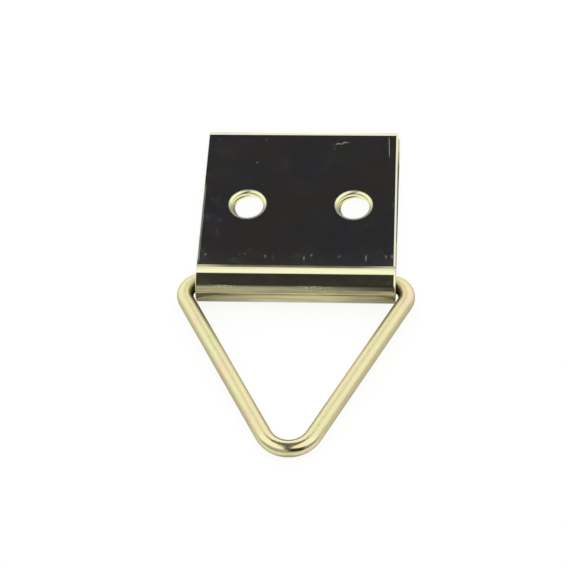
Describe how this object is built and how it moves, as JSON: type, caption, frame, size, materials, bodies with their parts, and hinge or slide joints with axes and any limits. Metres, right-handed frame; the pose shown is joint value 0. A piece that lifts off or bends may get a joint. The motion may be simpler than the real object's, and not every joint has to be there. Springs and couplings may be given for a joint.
{
  "type": "triangle picture hanger",
  "caption": "Folded sheet-metal plate with nail holes and a swinging triangular wire ring, nailed to the back of a picture frame to hang it.",
  "frame": {"origin": "midway between the two nail holes, on the face that lies against the picture frame", "axes": "+X along the barrel, +Y up the plate away from the ring, +Z out of the front leaf"},
  "size_m": [0.0238, 0.039, 0.0046],
  "materials": {
    "plate_plating": "mirror-bright yellow plating on sheet steel, faintly iridescent",
    "ring_plating": "bright yellow plating on steel wire, iridescent in patches"
  },
  "bodies": {
    "plate": {"folded_plate": "plate_plating"},
    "ring": {"triangle_ring": "ring_plating"}
  },
  "joints": [
    {"name": "ring_swing", "type": "hinge", "parent": "plate", "child": "ring", "pos_m": [0, -0.00975, 0.00055], "axis": [1, 0, 0], "range_deg": [-158, 149]}
  ]
}
